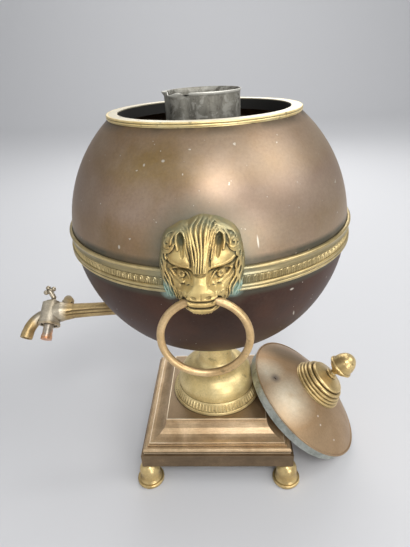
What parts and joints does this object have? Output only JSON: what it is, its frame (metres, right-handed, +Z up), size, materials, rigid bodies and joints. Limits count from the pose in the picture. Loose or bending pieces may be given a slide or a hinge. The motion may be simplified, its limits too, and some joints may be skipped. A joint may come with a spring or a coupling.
{
  "type": "tea urn",
  "caption": "Globe-shaped copper and brass tea urn on a square footed plinth, with side tap, ring handles, heater tube and lift-off lid.",
  "frame": {"origin": "on the floor under the middle of the globe and of the square plinth", "axes": "+Z up, -Y towards the front lion mask, -X towards the tap"},
  "size_m": [0.3584, 0.305, 0.3905],
  "materials": {
    "copper": "patinated, satin",
    "brass": "aged, satin",
    "tin": "tinned, dull",
    "iron": "rough",
    "copper_bright": "worn"
  },
  "bodies": {
    "urn": {"upper_shell": "copper", "lower_shell": "copper", "equator_belt": "brass", "rim_ring": "brass", "heater_tube": "tin", "heater_tube_base": "tin", "pedestal": "brass", "leaf_border": "brass", "tie_rod": "brass", "tie_washer": "brass", "tie_nut": "brass", "plinth_cover": "copper", "plinth_fascia": "copper", "base_plate": "iron", "foot_front_left": "brass", "foot_front_right": "brass", "foot_back_left": "brass", "foot_back_right": "brass", "foot_nuts": "brass", "lion_mask_front": "brass", "lion_mask_back": "brass", "mask_nuts": "brass", "tap_shank": "brass", "tap_saddle": "brass", "tap_body": "brass"},
    "tap_plug": {"tap_plug": "brass", "plug_washer": "brass", "plug_cap": "copper_bright", "tap_key": "brass"},
    "ring_front": {"ring_handle_front": "brass"},
    "ring_back": {"ring_handle_back": "brass"},
    "heater_iron": {"heater_iron": "iron", "heater_iron_eye": "iron"},
    "lid": {"lid_dome": "copper", "lid_collar": "tin", "finial_base": "brass", "finial_spindle": "brass", "finial_acorn": "brass", "finial_nut": "brass"}
  },
  "joints": [
    {"name": "tap_turn", "type": "hinge", "parent": "urn", "child": "tap_plug", "pos_m": [-0.16985, -0.01486, 0.1825], "axis": [0.0551, 0.7681, 0.638], "range_deg": [0, 90]},
    {"name": "ring_front_swing", "type": "hinge", "parent": "urn", "child": "ring_front", "pos_m": [0, -0.146, 0.273], "axis": [-1, 0, 0], "range_deg": [-15, 95]},
    {"name": "ring_back_swing", "type": "hinge", "parent": "urn", "child": "ring_back", "pos_m": [0, 0.146, 0.273], "axis": [1, 0, 0], "range_deg": [-15, 95]},
    {"name": "iron_lift", "type": "slide", "parent": "urn", "child": "heater_iron", "axis": [0, 0, 1], "range_m": [0, 0.25]},
    {"name": "lid_lift", "type": "slide", "parent": "urn", "child": "lid", "axis": [0.6398, -0.0616, 0.766], "range_m": [0, 0.15]}
  ]
}
